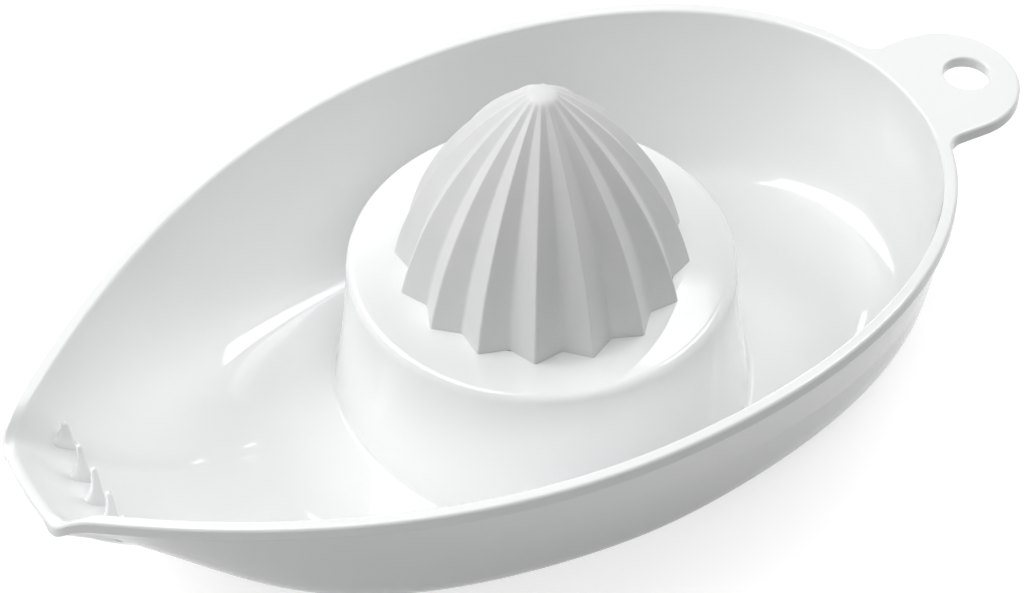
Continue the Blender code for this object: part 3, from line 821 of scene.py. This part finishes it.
def reamer_outside():
    """Rings from the spigot's foot up the flutes, which fade out on the domed tip."""
    rings = [round_ring(SPIGOT_RADIUS, spigot_foot()),
             round_ring(SPIGOT_RADIUS, COLLAR_HEIGHT + SEAT_GAP)]
    for step in range(REAMER_STEPS + 1):
        radius, height = ridge_point(step / REAMER_STEPS)
        rings.append(flute_ring(radius, COLLAR_HEIGHT + max(height, SEAT_GAP)))
    base = COLLAR_HEIGHT + REAMER_HEIGHT - NUB_RISE
    dome = ((NUB_RADIUS, 0.0), (NUB_SHOULDER, NUB_RISE), (0.0, NUB_RISE), 1.0)
    for step in range(1, NUB_STEPS):
        radius, rise = conic(*dome, step / NUB_STEPS)
        rings.append(flute_ring(radius, base + rise))
    return rings


def reamer_hollow():
    """Rings from the top of the hollow down to the spigot's foot."""
    bore = SPIGOT_RADIUS - SPIGOT_WALL
    rings = []
    for step in range(HOLLOW_STEPS, 0, -1):
        radius, height = ridge_point(HOLLOW_SHARE * step / HOLLOW_STEPS)
        inner = min(valley_radius(radius) - REAMER_WALL, bore)
        rings.append(round_ring(inner, COLLAR_HEIGHT + height))
    rings.append(round_ring(bore, spigot_foot()))
    return rings


def reamer():
    bm = bmesh.new()
    skin = loft(bm, reamer_outside(), closed=False)
    bm.faces.new(skin[-1])
    hollow = loft(bm, reamer_hollow(), closed=False)
    bm.faces.new(hollow[0])
    for index in range(len(skin[0])):
        after = (index + 1) % len(skin[0])
        bm.faces.new((skin[0][index], skin[0][after], hollow[-1][after], hollow[-1][index]))
    cone = mesh_object("reamer_moulding", bm)
    return settle(cone, [(spigot_snaps(), "UNION"), (spigot_keys(), "UNION")])


# Plastics

def node(tree, kind, **values):
    made = tree.nodes.new(kind)
    for name, value in values.items():
        setattr(made, name, value)
    return made


def noise(tree, coordinates, scale, detail):
    """Noise in object space, with its scale in waves per metre."""
    texture = node(tree, "ShaderNodeTexNoise")
    texture.inputs["Scale"].default_value = scale
    texture.inputs["Detail"].default_value = detail
    tree.links.new(coordinates.outputs["Object"], texture.inputs["Vector"])
    return texture.outputs["Fac"]


def spread(tree, factor, low, high):
    """Stretch a noise's middle range to lie between two values."""
    ramp = node(tree, "ShaderNodeMapRange")
    ramp.inputs["From Min"].default_value = NOISE_LOW
    ramp.inputs["From Max"].default_value = NOISE_HIGH
    ramp.inputs["To Min"].default_value = low
    ramp.inputs["To Max"].default_value = high
    tree.links.new(factor, ramp.inputs["Value"])
    return ramp.outputs["Result"]


def blend_colours(tree, factor, first, second):
    mixer = node(tree, "ShaderNodeMix", data_type="RGBA")
    mixer.inputs["A"].default_value = (*first, 1.0)
    mixer.inputs["B"].default_value = (*second, 1.0)
    tree.links.new(factor, mixer.inputs["Factor"])
    return mixer.outputs["Result"]


def bump(tree, height, distance, strength, under=None):
    made = node(tree, "ShaderNodeBump")
    made.inputs["Distance"].default_value = distance
    made.inputs["Strength"].default_value = strength
    tree.links.new(height, made.inputs["Height"])
    if under:
        tree.links.new(under, made.inputs["Normal"])
    return made.outputs["Normal"]


def new_plastic(name):
    material = bpy.data.materials.new(name)
    material.use_nodes = True
    tree = material.node_tree
    return material, tree, tree.nodes["Principled BSDF"], node(tree, "ShaderNodeTexCoord")


def gloss_white():
    """Polished white plastic, with the slow swell of a cooled moulding and faint wiping marks."""
    material, tree, shader, coordinates = new_plastic("dish_gloss_white")
    swell = noise(tree, coordinates, scale=45.0, detail=2.0)
    grain = noise(tree, coordinates, scale=900.0, detail=3.0)
    colour = blend_colours(tree, spread(tree, swell, low=0.0, high=1.0),
                           first=(0.858, 0.866, 0.868), second=(0.874, 0.880, 0.881))
    tree.links.new(colour, shader.inputs["Base Color"])
    tree.links.new(spread(tree, grain, low=0.03, high=0.06), shader.inputs["Roughness"])
    normal = bump(tree, swell, distance=0.0012, strength=0.02)
    normal = bump(tree, grain, distance=0.00003, strength=0.05, under=normal)
    tree.links.new(normal, shader.inputs["Normal"])
    return material


def satin_white_with_painted_shade():
    """White plastic from a spark-textured mould: a fine even grain that kills the gloss. Its base
    colour is painted darker than the dish's white, as painted shade on the flutes.
    """
    material, tree, shader, coordinates = new_plastic("reamer_satin_white")
    tint = noise(tree, coordinates, scale=120.0, detail=3.0)
    grain = noise(tree, coordinates, scale=2600.0, detail=4.0)
    # Painted shade: the reamer's base colour is set darker than the dish's white plastic.
    colour = blend_colours(tree, spread(tree, tint, low=0.0, high=1.0),
                           first=(0.692, 0.696, 0.694), second=(0.718, 0.721, 0.718))
    tree.links.new(colour, shader.inputs["Base Color"])
    tree.links.new(spread(tree, grain, low=0.42, high=0.56), shader.inputs["Roughness"])
    tree.links.new(bump(tree, grain, distance=0.00012, strength=0.35), shader.inputs["Normal"])
    return material


# Floor, light and camera

def seen_directly(tree):
    """1 for rays from the camera, off glossy surfaces or through clear ones, and 0 for others."""
    path = node(tree, "ShaderNodeLightPath")
    most = None
    for name in ("Is Camera Ray", "Is Glossy Ray", "Is Transmission Ray"):
        if most is None:
            most = path.outputs[name]
            continue
        larger = node(tree, "ShaderNodeMath", operation="MAXIMUM")
        tree.links.new(most, larger.inputs[0])
        tree.links.new(path.outputs[name], larger.inputs[1])
        most = larger.outputs[0]
    return most


def add_world(level):
    """White surroundings for the camera and reflections, and even soft light of a given level."""
    world = bpy.data.worlds.new("studio")
    bpy.context.scene.world = world
    world.use_nodes = True
    tree = world.node_tree
    ambient = tree.nodes["Background"]
    ambient.inputs["Color"].default_value = AMBIENT_COLOUR
    ambient.inputs["Strength"].default_value = level
    white = node(tree, "ShaderNodeBackground")
    white.inputs["Strength"].default_value = 1.0
    white.inputs["Color"].default_value = WHITE
    mixer = node(tree, "ShaderNodeMixShader")
    tree.links.new(seen_directly(tree), mixer.inputs[0])
    tree.links.new(ambient.outputs[0], mixer.inputs[1])
    tree.links.new(white.outputs[0], mixer.inputs[2])
    tree.links.new(mixer.outputs[0], tree.nodes["World Output"].inputs["Surface"])


def floor_material():
    """Pale floor that shows as white to the camera and keeps the object's shadow."""
    material = bpy.data.materials.new("pale_floor")
    material.use_nodes = True
    tree = material.node_tree
    surface = tree.nodes["Principled BSDF"]
    surface.inputs["Base Color"].default_value = FLOOR_COLOUR
    surface.inputs["Roughness"].default_value = FLOOR_ROUGHNESS
    surface.inputs["Specular IOR Level"].default_value = 0.0
    glow = node(tree, "ShaderNodeEmission")
    glow.inputs["Color"].default_value = WHITE
    strength = node(tree, "ShaderNodeMath", operation="MULTIPLY")
    strength.inputs[1].default_value = FLOOR_GLOW
    tree.links.new(seen_directly(tree), strength.inputs[0])
    tree.links.new(strength.outputs[0], glow.inputs["Strength"])
    both = node(tree, "ShaderNodeAddShader")
    tree.links.new(surface.outputs[0], both.inputs[0])
    tree.links.new(glow.outputs[0], both.inputs[1])
    tree.links.new(both.outputs[0], tree.nodes["Material Output"].inputs["Surface"])
    return material


def add_floor():
    """A wide flat sheet that the dish stands on."""
    bm = bmesh.new()
    bmesh.ops.create_grid(bm, x_segments=FLOOR_CELLS, y_segments=FLOOR_CELLS, size=FLOOR_HALF_SIZE)
    mesh = bpy.data.meshes.new("floor")
    bm.to_mesh(mesh)
    bm.free()
    floor = bpy.data.objects.new("floor", mesh)
    bpy.context.scene.collection.objects.link(floor)
    floor.location.z = CAD_BOX[0][2]
    mesh.materials.append(floor_material())


def add_lamp(name, azimuth, elevation, distance, width, height, radiance):
    """Rectangular lamp aimed at the object, placed by its direction from the object."""
    level = cos(elevation)
    direction = Vector((cos(azimuth) * level, sin(azimuth) * level, sin(elevation)))
    data = bpy.data.lights.new(name, "AREA")
    data.shape = "RECTANGLE"
    data.size = width
    data.size_y = height
    data.energy = radiance * width * height * pi
    lamp = bpy.data.objects.new(name, data)
    lamp.location = Vector(LAMPS_AIM) + direction * distance
    lamp.rotation_mode = "QUATERNION"
    lamp.rotation_quaternion = direction.to_track_quat("Z", "Y")
    bpy.context.scene.collection.objects.link(lamp)
    return lamp


def add_softbox(name, azimuth, elevation, distance, width, height, radiance):
    """Large lamp that lights the object but isn't mirrored in its gloss."""
    lamp = add_lamp(name, azimuth, elevation, distance, width, height, radiance)
    lamp.visible_glossy = False


def add_window(name, azimuth, elevation, wide, high):
    """Far window, given by the angles that it spans, that is only mirrored in the gloss."""
    width = 2.0 * WINDOW_DISTANCE * tan(wide / 2.0)
    height = 2.0 * WINDOW_DISTANCE * tan(high / 2.0)
    lamp = add_lamp(name, azimuth, elevation, WINDOW_DISTANCE, width, height, WINDOW_RADIANCE)
    lamp.visible_diffuse = False


def add_camera():
    back = Vector((sin(CAMERA_AZIMUTH) * cos(CAMERA_ELEVATION),
                   -cos(CAMERA_AZIMUTH) * cos(CAMERA_ELEVATION), sin(CAMERA_ELEVATION)))
    level = Vector((cos(CAMERA_AZIMUTH), sin(CAMERA_AZIMUTH), 0.0))
    upright = back.cross(level)
    right = level * cos(CAMERA_ROLL) + upright * sin(CAMERA_ROLL)
    up = back.cross(right)
    data = bpy.data.cameras.new("photo_camera")
    data.sensor_width = CAMERA_SENSOR
    data.lens = CAMERA_LENS
    data.clip_start = 0.05
    data.clip_end = 20.0
    camera = bpy.data.objects.new("photo_camera", data)
    turned = Matrix((right, up, back)).transposed().to_4x4()
    camera.matrix_world = Matrix.Translation(CAMERA_PLACE) @ turned
    bpy.context.scene.collection.objects.link(camera)
    bpy.context.scene.camera = camera


dish_piece = dish()
dish_piece.data.materials.clear()
dish_piece.data.materials.append(gloss_white())
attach(dish_piece, "root")
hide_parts("dish")

reamer_piece = reamer()
reamer_piece.data.materials.clear()
reamer_piece.data.materials.append(satin_white_with_painted_shade())
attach(reamer_piece, "root")
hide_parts("reamer")

add_world(AMBIENT_LEVEL)
add_floor()
for name, values in SOFTBOXES.items():
    add_softbox(name, *values)
for name, values in WINDOWS.items():
    add_window(name, *values)
add_camera()
bpy.context.scene.view_settings.view_transform = "Standard"
